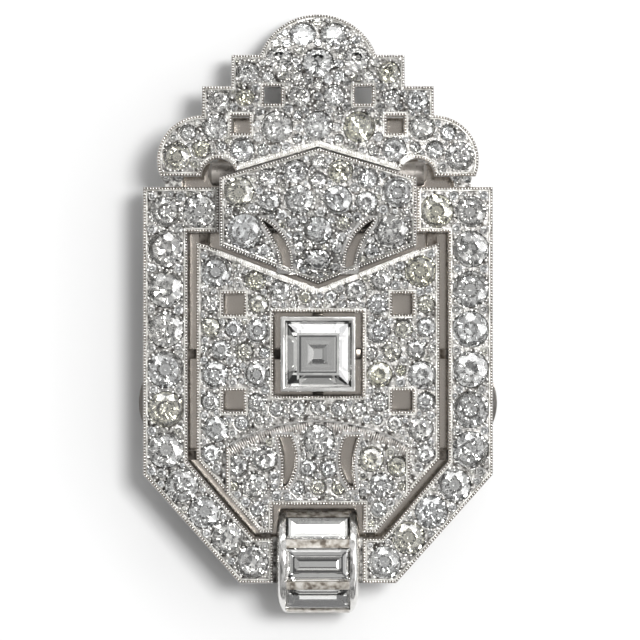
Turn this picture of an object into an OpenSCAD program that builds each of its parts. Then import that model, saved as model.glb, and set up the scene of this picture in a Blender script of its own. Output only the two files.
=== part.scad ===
/* [Frame] */
// Half the width of the octagonal frame
frame_half_w = 14.5; // [14.4:0.05:14.6]
// Width of the frame's side bands
frame_band = 3.7; // [3.6:0.05:3.8]
// Upper edge of the frame's arms, above the middle of the clip
frame_top_y = 10.45; // [10.4:0.05:10.5]
// Lower edge of the arms
arm_foot_y = 6.7; // [6.6:0.05:6.8]
// Where the frame's sides turn in
frame_turn_y = -13.4; // [-13.5:0.05:-13.3]
// Lower edge of the frame
frame_foot_y = -22.4; // [-22.5:0.05:-22.3]
// Half the width of the lower edge
frame_foot_half_w = 6.5; // [6.4:0.05:6.6]
// Height of the plates' backs above the surface
back_z = 3; // [2.9:0.05:3.1]
// Thickness of the frame and the panel
plate_t = 1.7; // [1.65:0.05:1.8]

/* [Crest] */
// Radius of the dome
dome_r = 5.06; // [5:0.02:5.1]
// Top of the dome
dome_top_y = 25; // [24.9:0.05:25.1]
// Height of the crest's face at its highest line
crest_top_z = 5.7; // [5.6:0.05:5.8]
// Radius to which the crest leans back
crest_bend_r = 22.5; // [22:0.1:24]
// Highest line of the crest
crest_crown_y = 12.5; // [12.2:0.1:12.8]
// Thickness of the crest
crest_t = 1.4; // [1.3:0.05:1.45]
// Radius of the rounded shoulders
shoulder_r = 3.7; // [3.65:0.05:3.75]
// Radius of the arched notches over the hinge
notch_r = 1.45; // [1.4:0.05:1.5]

/* [Panel] */
// Half the width of the inner panel
panel_half_w = 10.1; // [10:0.05:10.2]
// Side of the four small windows in the panel
window_w = 1.65; // [1.5:0.05:1.8]
// Side of the four small windows in the crest
crest_window_w = 1.4; // [1.3:0.05:1.5]
// Height that the fan stands above the panel
fan_rise = 0.4; // [0.3:0.05:0.5]
// Radius of the fan's upper edge
fan_r = 14.84; // [14.6:0.02:15]

/* [Keystone] */
// Half the width of the keystone
key_half_w = 8.1; // [8:0.05:8.2]
// Height of its face at its highest line
key_top_z = 7; // [6.9:0.05:7.1]
// Radius to which its face is domed
key_bend_r = 10; // [9.8:0.1:10.4]
// Thickness of its face
key_t = 1.4; // [1.3:0.05:1.5]

/* [Centre] */
// Side of the square stone
centre_w = 5.4; // [5.2:0.05:5.5]
// Side of its bezel
collet_w = 6.2; // [6.1:0.05:6.3]
// Top of the bezel
collet_top_z = 5.6; // [5.5:0.05:5.8]

/* [Barrel] */
// Radius of the half barrel that holds the three rectangular stones
barrel_r = 4.27; // [4.25:0.01:4.35]
// Half its length over the domed cheeks
barrel_half_w = 3.6; // [3.55:0.01:3.62]
// Length of each rectangular stone
baguette_w = 5.3; // [5.2:0.05:5.35]
// Its width, round the barrel
baguette_l = 2.7; // [2.6:0.05:2.72]
// Angle from one stone to the next
baguette_pitch = 48; // [47.5:0.5:49]

/* [Clip] */
// Thickness of the flap
flap_t = 0.8; // [0.75:0.05:0.85]
// Half the width of the flap without its ears
flap_half_w = 12.5; // [12.3:0.05:12.6]
// How far the ears reach to each side
ear_reach = 15.05; // [15:0.05:15.2]
// Height of the hinge pin
hinge_z = 1.9; // [1.88:0.01:1.92]
// Place of the hinge pin along the clip
hinge_y = 11.7; // [11.6:0.05:11.8]
// Outer radius of the hinge knuckles
knuckle_r = 1; // [0.95:0.01:1.05]
// Radius of the hinge pin
pin_r = 0.42; // [0.4:0.01:0.44]

/* [Stones] */
// Room between a stone and its metal seat
seat_gap = 0.04; // [0.03:0.005:0.05]
// Depth of a round stone's girdle below the metal's face
girdle_drop = 0.15; // [0.1:0.01:0.2]

/* [Hidden] */
$fn = 64;

PLATINUM = [0.80, 0.80, 0.81];
FLAP_GREY = [0.60, 0.56, 0.55];
STEEL_GREY = [0.42, 0.40, 0.40];
DIAMOND = [0.88, 0.92, 0.96];

face_z = back_z + plate_t;
fan_z = face_z + fan_rise;
running_gap = 0.03;
piece_gap = 0.05;
small_gap = 0.1;

// Columns of the stone charts: distance from the middle line, distance up the clip, diameter.
// A stone off the middle line stands on both sides.
ACROSS = 0;
UP = 1;
DIAMETER = 2;

crest_chart = [
    [0, 20.85, 2.6], [0, 18.95, 0.8], [0, 15.5, 2.4],
    [1.28, 23.3, 2.2], [3.2, 21.15, 2.2], [1.75, 19.7, 1.0], [1.4, 18.05, 1.9],
    [4.15, 19.65, 1.0], [5.85, 20.0, 1.9], [6.05, 17.85, 1.5], [8.15, 17.6, 1.9],
    [3.4, 15.4, 2.6], [1.7, 16.4, 0.8], [1.72, 14.4, 0.8],
    [8.6, 15.35, 2.1], [6.3, 13.5, 2.0], [4.55, 13.45, 1.0], [8.0, 13.75, 0.9],
    [9.65, 13.5, 1.5], [10.75, 14.9, 1.4], [11.7, 12.95, 2.3]
];
frame_chart = [
    [9.85, 8.45, 2.75],
    [12.65, 8.4, 2.55], [12.65, 5.3, 3.0], [12.65, 1.97, 3.0], [12.65, -1.36, 3.0],
    [12.65, -4.69, 3.0], [12.65, -8.02, 3.0], [12.65, -11.35, 3.0],
    [11.3, -14.3, 2.75], [9.4, -16.5, 2.7], [7.5, -18.65, 2.7], [5.5, -20.7, 2.7]
];
keystone_chart = [
    [0, 12.5, 1.1], [0, 10.9, 1.5], [0, 6.75, 2.3], [0, 4.25, 2.1],
    [1.85, 11.7, 2.0], [4.15, 11.05, 1.7], [6.55, 9.95, 2.5], [1.6, 9.3, 2.4],
    [4.0, 9.1, 1.8], [7.35, 8.35, 0.7], [6.05, 6.7, 2.9], [2.1, 7.4, 1.1],
    [1.6, 5.35, 1.0], [4.45, 5.05, 1.2]
];
panel_chart = [
    [0, 0.75, 0.7], [0, -7.9, 1.4],
    [8.5, 3.45, 2.6], [6.65, 3.15, 0.7], [5.2, 2.7, 1.7], [3.1, 1.9, 1.8], [1.05, 1.35, 1.1],
    [2.05, 0.7, 0.75], [4.95, 0.7, 1.7], [8.95, 0.75, 1.5], [8.95, -1.2, 1.6],
    [7.05, -1.3, 1.6], [5.0, -1.5, 2.0], [9.48, -3.0, 0.75], [8.1, -3.05, 1.6],
    [6.1, -3.2, 1.6], [4.45, -3.3, 1.0], [8.6, -5.15, 2.3], [6.85, -4.8, 0.9],
    [5.1, -5.1, 2.1], [8.95, -7.35, 1.6], [5.15, -7.4, 1.5], [3.45, -8.0, 1.3],
    [1.72, -7.95, 1.4], [4.9, -8.85, 0.9], [6.35, -9.15, 1.3], [8.5, -9.65, 2.1],
    [8.9, -11.65, 1.6]
];
fan_chart = [
    [0, -10.6, 2.7], [0, -14.45, 1.4],
    [0.87, -12.85, 1.5], [1.68, -14.5, 1.3], [4.4, -12.1, 2.1], [6.6, -12.7, 1.7],
    [5.25, -14.35, 2.1], [6.95, -14.35, 0.8], [5.0, -16.25, 1.4], [4.4, -17.4, 0.7]
];

// Middles of the small windows: distance from the middle line, distance up the clip
crest_windows = [[3.76, 18.05], [6.4, 15.6]];
panel_windows = [[7.0, 0.75], [7.0, -7.3]];

// Small bars that join the panel to the frame: distance from the middle line, distance up
side_struts = [[10.45, -3.4], [10.45, -11.8]];
end_struts = [[9.5, 6.3], [4.35, -18.4]];

// Height and backward lean of each face at a distance up the clip
crest_height = function (y)
    crest_top_z - crest_bend_r + sqrt(pow(crest_bend_r, 2) - pow(y - crest_crown_y, 2));
crest_lean = function (y) asin((y - crest_crown_y) / crest_bend_r);
key_crown_y = 9.4;
key_height = function (y)
    key_top_z - key_bend_r + sqrt(pow(key_bend_r, 2) - pow(y - key_crown_y, 2));
key_lean = function (y) asin((y - key_crown_y) / key_bend_r);
plate_height = function (y) face_z;
fan_height = function (y) fan_z;
no_lean = function (y) 0;

// Columns of a laid chart
X = 0;
Y = 1;
Z = 2;
LEAN = 3;
SIZE = 4;
function laid(chart, height, lean) = [
    for (stone = chart)
        for (side = stone[ACROSS] == 0 ? [1] : [1, -1])
            [side * stone[ACROSS], stone[UP], height(stone[UP]), lean(stone[UP]), stone[DIAMETER]]
];
crest_spots = laid(crest_chart, crest_height, crest_lean);
frame_spots = laid(frame_chart, plate_height, no_lean);
keystone_spots = laid(keystone_chart, key_height, key_lean);
panel_spots = laid(panel_chart, plate_height, no_lean);
fan_spots = laid(fan_chart, fan_height, no_lean);

module both_sides() {
    children();
    mirror([1, 0, 0]) children();
}

module lean_at(spot) {
    translate([spot[X], spot[Y], spot[Z]])
        rotate([-spot[LEAN], 0, 0])
            translate([0, 0, -girdle_drop])
                children();
}

// A round stone with an eight-sided table, sixteen girdle points and a pointed back
table_share = 0.56;
crown_share = 0.3;
back_share = 0.86;
module round_stone(d) {
    r = d / 2;
    tip = 24;
    points = [
        for (i = [0:7]) [r * table_share * cos(45 * i), r * table_share * sin(45 * i), r * crown_share],
        for (i = [0:15]) [r * cos(22.5 * i), r * sin(22.5 * i), 0],
        [0, 0, -r * back_share]
    ];
    function table(i) = i % 8;
    function girdle(i) = 8 + i % 16;
    polyhedron(points, [
        [for (i = [7:-1:0]) i],
        for (i = [0:7]) [table(i), girdle(2 * i + 1), girdle(2 * i)],
        for (i = [0:7]) [table(i), table(i + 1), girdle(2 * i + 1)],
        for (i = [0:7]) [table(i + 1), girdle(2 * i + 2), girdle(2 * i + 1)],
        for (i = [0:15]) [girdle(i), girdle(i + 1), tip]
    ]);
}

// What is drilled for a round stone: a bore, a cone that follows its back, and room for it above
module round_seat(d, depth) {
    girdle = d / 2 + seat_gap;
    bore = d / 4;
    rotate_extrude()
        polygon([
            [0, -depth], [bore, -depth], [bore, -back_share * (girdle - bore)],
            [girdle, 0], [girdle, 0.8], [0, 0.8]
        ]);
}

module stones(spots) {
    for (spot = spots)
        lean_at(spot)
            round_stone(spot[SIZE]);
}

module seats(spots, depth) {
    for (spot = spots)
        lean_at(spot)
            round_seat(spot[SIZE], depth);
}

// A rectangular stone in steps. Columns of its steps: how far in from the edge, height.
module step_stone(w, l, steps) {
    last = len(steps) - 1;
    points = [
        for (step = steps)
            for (corner = [[1, 1], [-1, 1], [-1, -1], [1, -1]])
                [corner[0] * (w / 2 - step[0]), corner[1] * (l / 2 - step[0]), step[1]]
    ];
    function at(ring, corner) = 4 * ring + corner % 4;
    polyhedron(points, [
        [3, 2, 1, 0],
        for (k = [0:last - 1])
            for (i = [0:3])
                [at(k, i), at(k, i + 1), at(k + 1, i + 1), at(k + 1, i)],
        [for (i = [0:3]) at(last, i)]
    ]);
}

module block(x0, x1, y0, y1, z0, z1) {
    translate([x0, y0, z0])
        cube([x1 - x0, y1 - y0, z1 - z0]);
}

// A rod along X at the hinge
module hinge_rod(r, x0, x1) {
    translate([x0, hinge_y, hinge_z])
        rotate([0, 90, 0])
            cylinder(r = r, h = x1 - x0);
}

module slab(z0, z1) {
    translate([0, 0, z0])
        linear_extrude(z1 - z0)
            children();
}

// The keystone's corners along the clip: its peak, its upper and lower sides, its point
key_peak_y = 13.6;
key_upper_y = 11.15;
key_lower_y = 5.55;
key_point_y = 2.4;
module keystone_outline(grow) {
    w = key_half_w + grow;
    polygon([
        [0, key_peak_y + grow], [w, key_upper_y + grow], [w, key_lower_y - grow],
        [0, key_point_y - grow], [-w, key_lower_y - grow], [-w, key_upper_y + grow]
    ]);
}

// Frame
opening_turn_y = -12.3;
opening_foot = [5.3, -18.65];
module frame_outline() {
    polygon([
        [frame_half_w, frame_top_y], [frame_half_w, frame_turn_y],
        [frame_foot_half_w, frame_foot_y], [-frame_foot_half_w, frame_foot_y],
        [-frame_half_w, frame_turn_y], [-frame_half_w, frame_top_y]
    ]);
}
module frame_opening() {
    w = frame_half_w - frame_band;
    polygon([
        [w, arm_foot_y], [w, opening_turn_y], opening_foot,
        [-opening_foot[0], opening_foot[1]], [-w, opening_turn_y], [-w, arm_foot_y]
    ]);
}

// Panel
v_point_y = 2.05;
v_corner = [8.3, 5.3];
panel_top_y = 5.85;
panel_turn_y = -12.1;
leg_foot = [4.8, -18.2];
leg_inner_x = 3.75;
panel_foot_y = -15.9;
centre_y = -3.4;
centre_window = [7.3, 6.9];
module panel_outline() {
    difference() {
        polygon([
            [0, v_point_y], v_corner, [panel_half_w, panel_top_y], [panel_half_w, panel_turn_y],
            leg_foot, [-leg_foot[0], leg_foot[1]], [-panel_half_w, panel_turn_y],
            [-panel_half_w, panel_top_y], [-v_corner[0], v_corner[1]]
        ]);
        translate([-leg_inner_x, panel_foot_y - 5])
            square([2 * leg_inner_x, 5]);
        translate([0, centre_y])
            square(centre_window, center = true);
    }
}

// The raised fan at the panel's foot, under an arc
fan_half_w = 7.63;
fan_top_y = -8.87;
module fan_outline() {
    intersection() {
        panel_outline();
        translate([0, fan_top_y - fan_r])
            circle(r = fan_r, $fn = 180);
        translate([-fan_half_w, -20])
            square([2 * fan_half_w, 20 + fan_top_y + 1]);
    }
}

// A curved slot on the right side is what one circle leaves of another, between two heights
module crescent(outer_at, outer_r, inner_at, inner_r, y0, y1) {
    intersection() {
        difference() {
            translate(outer_at)
                circle(r = outer_r, $fn = 96);
            translate(inner_at)
                circle(r = inner_r, $fn = 96);
        }
        translate([0, y0])
            square([9, y1 - y0]);
    }
}
module fan_slot() {
    crescent([5.7, -12.1], 3.8, [10, -12.85], 7.19, -14.4, -10.3);
}

// Crest
upper_step = [7.2, 21.47];
lower_step = [9.6, 18.8];
shoulder_y = 12.65;
crest_foot_y = 11.3;
notch_x = 8.2;
notch_room = 0.15;
module crest_outline() {
    difference() {
        union() {
            translate([0, dome_top_y - dome_r])
                circle(r = dome_r, $fn = 128);
            for (step = [upper_step, lower_step])
                translate([-step[0], crest_foot_y])
                    square([2 * step[0], step[1] - crest_foot_y]);
            for (side = [-1, 1])
                translate([side * lower_step[0], shoulder_y])
                    circle(r = shoulder_r, $fn = 96);
        }
        translate([-20, crest_foot_y - 10])
            square([40, 10]);
        for (side = [-1, 1])
            translate([side * notch_x, crest_foot_y])
                circle(r = notch_r);
        keystone_outline(notch_room);
    }
}
module crest() {
    intersection() {
        slab(-1, 9)
            crest_outline();
        translate([-20, crest_crown_y, crest_top_z - crest_bend_r])
            rotate([0, 90, 0])
                difference() {
                    cylinder(r = crest_bend_r, h = 40, $fn = 360);
                    translate([0, 0, -1])
                        cylinder(r = crest_bend_r - crest_t, h = 42, $fn = 360);
                }
    }
}

// What lies hidden under the keystone and between crest and frame, and carries both
rail_half_w = 6.7;
rail_y = [9.9, 14];
bridge_top_z = 3.9;
bar_top_z = 4.3;
link_x = [11.3, 12.7];
link_top_y = 12.4;
link_z = [3.4, 4.5];
module hinge_rail() {
    block(-rail_half_w, rail_half_w, rail_y[0], rail_y[1], back_z, bridge_top_z);
    intersection() {
        slab(bridge_top_z - 0.3, crest_top_z - crest_t + 0.3)
            crest_outline();
        block(-6.4, 6.4, 11, 15, back_z, 5);
    }
    both_sides()
        block(link_x[0], link_x[1], rail_y[0], link_top_y, link_z[0], link_z[1]);
}

// Where the outer knuckles begin and end, and half the web that carries a knuckle
knuckle_x = 4.95;
knuckle_end_x = 9.2;
web_half = 0.7;
module outer_knuckle() {
    end_r = 1.6;
    translate([0, hinge_y, hinge_z])
        rotate([0, 90, 0])
            rotate_extrude() {
                translate([0, knuckle_x])
                    square([knuckle_r, 2]);
                intersection() {
                    translate([0, knuckle_x + 1.5])
                        square([knuckle_r, 4]);
                    translate([0, knuckle_end_x - end_r])
                        circle(r = end_r);
                }
            }
    block(knuckle_x, rail_half_w, hinge_y - web_half, hinge_y + web_half, hinge_z, back_z + 0.3);
}

strut_z = [3.4, 4.1];
module strut(spot, half_w, half_l) {
    block(spot[0] - half_w, spot[0] + half_w, spot[1] - half_l, spot[1] + half_l,
          strut_z[0], strut_z[1]);
}

module window_row(spots, w) {
    for (spot = spots)
        translate([spot[0], spot[1]])
            square(w, center = true);
}

// The frame's foot is cut down under the barrel
saddle_half_w = barrel_half_w + 0.12;
saddle_top_y = -18.3;
module plaque() {
    color(PLATINUM)
        difference() {
            union() {
                slab(back_z, face_z)
                    difference() {
                        frame_outline();
                        frame_opening();
                    }
                slab(back_z, face_z)
                    panel_outline();
                slab(face_z - 0.5, fan_z)
                    fan_outline();
                crest();
                hinge_rail();
                both_sides() {
                    outer_knuckle();
                    for (spot = side_struts)
                        strut(spot, 0.5, 0.4);
                    for (spot = end_struts)
                        strut(spot, 0.4, 0.7);
                }
            }
            slab(bridge_top_z, 9)
                keystone_outline(small_gap);
            block(-saddle_half_w, saddle_half_w, -24, saddle_top_y, bar_top_z, 9);
            both_sides()
                slab(-1, 9) {
                    window_row(crest_windows, crest_window_w);
                    window_row(panel_windows, window_w);
                    fan_slot();
                }
            seats(crest_spots, crest_t + 0.1);
            seats(frame_spots, plate_t + 0.1);
            seats(panel_spots, plate_t + 0.1);
            seats(fan_spots, plate_t + fan_rise + 0.1);
            hinge_rod(pin_r + running_gap, -10, 10);
        }
}

// Keystone
key_base_z = bridge_top_z + piece_gap;
key_wall = 0.7;
module key_round(r) {
    translate([-10, key_crown_y, key_top_z - key_bend_r])
        rotate([0, 90, 0])
            cylinder(r = r, h = 20, $fn = 180);
}
module keystone() {
    color(PLATINUM)
        difference() {
            intersection() {
                slab(back_z, 9)
                    keystone_outline(0);
                key_round(key_bend_r);
            }
            intersection() {
                slab(back_z - 1, 9)
                    keystone_outline(-key_wall);
                key_round(key_bend_r - key_t);
            }
            block(-9, 9, arm_foot_y - piece_gap, 15, back_z - 1, key_base_z);
            both_sides()
                slab(back_z - 1, 9)
                    crescent([6.35, 4.02], 4.07, [10.25, 2.86], 7.39, 3.75, 9);
            seats(keystone_spots, key_t + 0.2);
        }
}

// Centre stone and its bezel
centre_girdle_z = 5.2;
centre_ledge_z = 4.6;
centre_steps = [
    [0.95, 0.7], [0.45, 0.45], [0, 0], [0.5, -0.6], [1.2, -1.15], [1.95, -1.65], [2.6, -1.95]
];
module centre_collet() {
    inside = centre_w / 2 + seat_gap;
    below = inside - centre_steps[3][0];
    half = collet_w / 2;
    lug = 0.45;
    lug_z = [3.9, 4.6];
    reach = [centre_window[0] / 2 - piece_gap, centre_window[1] / 2 - piece_gap];
    color(PLATINUM)
        translate([0, centre_y, 0])
            difference() {
                union() {
                    block(-half, half, -half, half, back_z + 0.2, collet_top_z);
                    block(-reach[0], reach[0], -lug, lug, lug_z[0], lug_z[1]);
                    block(-lug, lug, -reach[1], reach[1], lug_z[0], lug_z[1]);
                }
                block(-inside, inside, -inside, inside, centre_ledge_z, 9);
                block(-below, below, -below, below, -1, 9);
            }
}
module centre_stone() {
    color(DIAMOND)
        translate([0, centre_y, centre_girdle_z])
            step_stone(centre_w, centre_w, centre_steps);
}

// Half barrel with three rectangular stones
clip_length = 50;
barrel_y = dome_top_y - clip_length + barrel_r;
barrel_z = 2.75;
barrel_foot_z = 2.35;
cheek_r = 15;
girdle_radius = 3.85;
// The third step of a rectangular stone rests on a ledge, and its keel is the last
ledge_inset = 0.35;
ledge_drop = 0.3;
keel_drop = 1;
baguette_steps = [
    [0.6, 0.35], [0.25, 0.22], [0, 0], [ledge_inset, -ledge_drop], [0.85, -0.7],
    [1.28, -keel_drop]
];
module round_barrel(turn) {
    translate([0, barrel_y, barrel_z])
        rotate([-turn, 0, 0])
            children();
}
module baguette(turn) {
    color(DIAMOND)
        round_barrel(turn)
            translate([0, 0, girdle_radius])
                step_stone(baguette_w, baguette_l, baguette_steps);
}
module baguette_upper() {
    baguette(baguette_pitch);
}
module baguette_middle() {
    baguette(0);
}
module baguette_lower() {
    baguette(-baguette_pitch);
}
module baguette_cradle() {
    half_w = baguette_w / 2 + seat_gap;
    half_l = baguette_l / 2 + seat_gap;
    color(PLATINUM)
        difference() {
            intersection() {
                round_barrel(0)
                    rotate([0, 90, 0])
                        rotate_extrude()
                            intersection() {
                                translate([0, -5])
                                    square([barrel_r, 10]);
                                translate([0, barrel_half_w - cheek_r])
                                    circle(r = cheek_r, $fn = 256);
                                translate([0, cheek_r - barrel_half_w])
                                    circle(r = cheek_r, $fn = 256);
                            }
                block(-6, 6, -30, -10, barrel_foot_z, 9);
            }
            for (turn = [-baguette_pitch, 0, baguette_pitch])
                round_barrel(turn) {
                    block(-half_w, half_w, -half_l, half_l, girdle_radius - ledge_drop, 6);
                    block(-half_w + ledge_inset, half_w - ledge_inset,
                          -half_l + ledge_inset, half_l - ledge_inset,
                          girdle_radius - keel_drop - 0.1, 6);
                }
            block(-9, 9, frame_foot_y - piece_gap, opening_foot[1] + piece_gap,
                  0, bar_top_z + piece_gap);
        }
}

// Flap. Its ears stand a little off the surface
ear_r = 4.4;
ear_y = -7.5;
ear_lift = 0.25;
tail_half_w = 8.4;
tail_top_y = 16.4;
flap_top_y = 12.6;
flap_bevel = 0.8;
flap_turn_y = -12.6;
flap_foot = [6, -19.9];
tooth_x = 11.9;
tooth_y = 0.3;
tooth_pitch = 3.33;
tooth_tip_z = 2.6;
module flap_outline() {
    w = flap_half_w;
    polygon([
        [tail_half_w, tail_top_y], [tail_half_w, flap_top_y], [w - flap_bevel, flap_top_y],
        [w, flap_top_y - flap_bevel], [w, flap_turn_y], flap_foot,
        [-flap_foot[0], flap_foot[1]], [-w, flap_turn_y], [-w, flap_top_y - flap_bevel],
        [-w + flap_bevel, flap_top_y], [-tail_half_w, flap_top_y], [-tail_half_w, tail_top_y]
    ]);
}
module finger_ear() {
    slab(ear_lift, flap_t)
        translate([ear_reach - ear_r, ear_y])
            circle(r = ear_r, $fn = 96);
}
module clip_flap() {
    reach = knuckle_x - 0.15;
    color(FLAP_GREY)
        difference() {
            union() {
                slab(0, flap_t)
                    flap_outline();
                hinge_rod(knuckle_r, -reach, reach);
                block(-reach, reach, hinge_y - web_half, hinge_y + web_half, flap_t / 2, hinge_z);
                both_sides() {
                    finger_ear();
                    for (k = [0:3])
                        translate([tooth_x, tooth_y - tooth_pitch * k, flap_t / 2])
                            cylinder(r1 = 0.35, r2 = 0.08, h = tooth_tip_z - flap_t / 2);
                }
            }
            hinge_rod(pin_r + running_gap, -10, 10);
        }
}

pin_half_l = 9.2;
pin_bevel = 0.15;
module hinge_pin() {
    tip_r = pin_r - pin_bevel;
    rim = pin_half_l - pin_bevel;
    color(STEEL_GREY)
        translate([0, hinge_y, hinge_z])
            rotate([0, 90, 0])
                rotate_extrude()
                    polygon([
                        [0, -pin_half_l], [tip_r, -pin_half_l], [pin_r, -rim],
                        [pin_r, rim], [tip_r, pin_half_l], [0, pin_half_l]
                    ]);
}

module crest_stones() {
    color(DIAMOND)
        stones(crest_spots);
}
module frame_stones() {
    color(DIAMOND)
        stones(frame_spots);
}
module keystone_stones() {
    color(DIAMOND)
        stones(keystone_spots);
}
module panel_stones() {
    color(DIAMOND)
        stones(panel_spots);
}
module fan_stones() {
    color(DIAMOND)
        stones(fan_spots);
}

plaque();
keystone();
centre_collet();
baguette_cradle();
clip_flap();
hinge_pin();
centre_stone();
baguette_upper();
baguette_middle();
baguette_lower();
crest_stones();
frame_stones();
keystone_stones();
panel_stones();
fan_stones();
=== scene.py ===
import math
import random

import bmesh
import bpy
from mathutils import Matrix, Vector
from mathutils.bvhtree import BVHTree
from mathutils.kdtree import KDTree


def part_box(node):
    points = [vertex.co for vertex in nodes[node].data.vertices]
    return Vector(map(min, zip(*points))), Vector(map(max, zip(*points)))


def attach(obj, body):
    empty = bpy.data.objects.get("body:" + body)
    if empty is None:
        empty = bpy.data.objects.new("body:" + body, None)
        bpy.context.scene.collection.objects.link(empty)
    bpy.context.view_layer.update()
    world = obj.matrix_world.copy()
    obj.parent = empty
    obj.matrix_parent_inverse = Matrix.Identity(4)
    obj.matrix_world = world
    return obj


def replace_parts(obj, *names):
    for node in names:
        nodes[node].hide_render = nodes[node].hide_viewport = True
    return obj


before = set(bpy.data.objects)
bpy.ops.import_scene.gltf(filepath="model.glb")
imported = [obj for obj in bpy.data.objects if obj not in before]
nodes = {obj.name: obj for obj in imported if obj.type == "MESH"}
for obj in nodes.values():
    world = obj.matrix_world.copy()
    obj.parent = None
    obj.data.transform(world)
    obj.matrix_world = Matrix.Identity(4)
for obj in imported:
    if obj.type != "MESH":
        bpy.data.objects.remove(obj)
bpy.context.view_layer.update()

mm = 0.001
scene = bpy.context.scene
dice = random.Random(1928)
print("frame loaded:", len(nodes), "nodes")


# small helpers

smoothUpToDegrees = 40


def mergedCopy(node):
    # a working copy of a CAD node with its loose triangles joined
    bm = bmesh.new()
    bm.from_mesh(nodes[node].data)
    bmesh.ops.remove_doubles(bm, verts=bm.verts, dist=0.001 * mm)
    bm.normal_update()
    return bm


def asMesh(name, bm):
    mesh = bpy.data.meshes.new(name)
    bm.to_mesh(mesh)
    bm.free()
    return mesh


def pieceName(node):
    # crest_stones becomes crestStones
    first, *others = node.split("_")
    return first + "".join(word.capitalize() for word in others)


def placeMesh(name, mesh, finishes, smooth=False, body="front"):
    piece = bpy.data.objects.new(name, mesh)
    scene.collection.objects.link(piece)
    for finish in finishes:
        mesh.materials.append(finish)
    mesh.polygons.foreach_set("use_smooth", [smooth] * len(mesh.polygons))
    if smooth:
        mesh.set_sharp_from_angle(angle=math.radians(smoothUpToDegrees))
    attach(piece, body)
    return piece


def turnTo(direction, spin=0.0):
    # a turn that takes +Z to a direction, after a spin round Z
    return direction.to_track_quat("Z", "Y").to_matrix().to_4x4() @ Matrix.Rotation(spin, 4, "Z")


def turnAlong(direction):
    # a turn round Z that takes +X to a direction
    return Matrix.Rotation(math.atan2(direction.y, direction.x), 4, "Z")


def placed(shape, spot, turn, sizes, tone=0.0):
    # one copy of a shape for joinCopies: scaled, turned and moved
    return shape, Matrix.Translation(spot) @ turn @ Matrix.Diagonal((*sizes, 1)), tone


def joinCopies(name, copies):
    # one mesh from many copies, each a shape, its matrix and its tone
    verts, faces, tones, finishes = [], [], [], []
    for shape, matrix, tone in copies:
        start = len(verts)
        verts += [matrix @ v.co for v in shape.vertices]
        faces += [[start + i for i in p.vertices] for p in shape.polygons]
        tones += [tone] * len(shape.polygons)
        finishes += [p.material_index for p in shape.polygons]
    mesh = bpy.data.meshes.new(name)
    mesh.from_pydata(verts, [], faces)
    mesh.polygons.foreach_set("material_index", finishes)
    mesh.attributes.new("tone", "FLOAT", "FACE").data.foreach_set("value", tones)
    return mesh


# parts of a finish

def newMaterial(name):
    mat = bpy.data.materials.new(name)
    mat.use_nodes = True
    return mat, mat.node_tree, mat.node_tree.nodes["Principled BSDF"]


def noiseOn(tree, scale, detail=3.0):
    place = tree.nodes.new("ShaderNodeTexCoord")
    noise = tree.nodes.new("ShaderNodeTexNoise")
    noise.inputs["Scale"].default_value = scale
    noise.inputs["Detail"].default_value = detail
    tree.links.new(place.outputs["Object"], noise.inputs["Vector"])
    return noise.outputs["Fac"]


def ramp(tree, source, stops):
    node = tree.nodes.new("ShaderNodeValToRGB")
    elements = node.color_ramp.elements
    for spot, (at, colour) in zip((0, 1), (stops[0], stops[-1])):
        elements[spot].position = at
        elements[spot].color = (*colour, 1)
    for at, colour in stops[1:-1]:
        elements.new(at).color = (*colour, 1)
    tree.links.new(source, node.inputs["Fac"])
    return node.outputs["Color"]


def spread(tree, source, fromLow, fromHigh, toLow, toHigh):
    node = tree.nodes.new("ShaderNodeMapRange")
    limits = {"From Min": fromLow, "From Max": fromHigh, "To Min": toLow, "To Max": toHigh}
    for socket, value in limits.items():
        node.inputs[socket].default_value = value
    tree.links.new(source, node.inputs["Value"])
    return node.outputs["Result"]


def mixed(tree, amount, first, second):
    node = tree.nodes.new("ShaderNodeMix")
    node.data_type = "RGBA"
    for socket, source in (("Factor", amount), ("A", first), ("B", second)):
        tree.links.new(source, node.inputs[socket])
    return node.outputs["Result"]


def clouded(tree, dark, light, grain, detail=4):
    # a colour that wanders between two
    return ramp(tree, noiseOn(tree, grain, detail), [(0.3, dark), (0.7, light)])


def roughen(tree, shader, low, high, grain):
    # a roughness that wanders between two values
    tree.links.new(spread(tree, noiseOn(tree, grain), 0.3, 0.7, low, high), shader.inputs["Roughness"])


def bumpFrom(tree, source, strength, depth, shader):
    node = tree.nodes.new("ShaderNodeBump")
    node.inputs["Strength"].default_value = strength
    node.inputs["Distance"].default_value = depth * mm
    tree.links.new(source, node.inputs["Height"])
    tree.links.new(node.outputs["Normal"], shader.inputs["Normal"])


def partOf(tree, vector, axis):
    split = tree.nodes.new("ShaderNodeSeparateXYZ")
    tree.links.new(vector, split.inputs["Vector"])
    return split.outputs[axis]


# metals: mottled from dark to light at the scale of grain, with the roughness from and to

def metalFinish(name, light, dark, rough, bump, grain=900, metallic=1.0, roughGrain=2600, bumpGrain=5000):
    mat, tree, shader = newMaterial(name)
    shader.inputs["Metallic"].default_value = metallic
    tree.links.new(clouded(tree, dark, light, grain), shader.inputs["Base Color"])
    roughen(tree, shader, *rough, roughGrain)
    bumpFrom(tree, noiseOn(tree, bumpGrain, 5), bump, 0.02, shader)
    return mat


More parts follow.
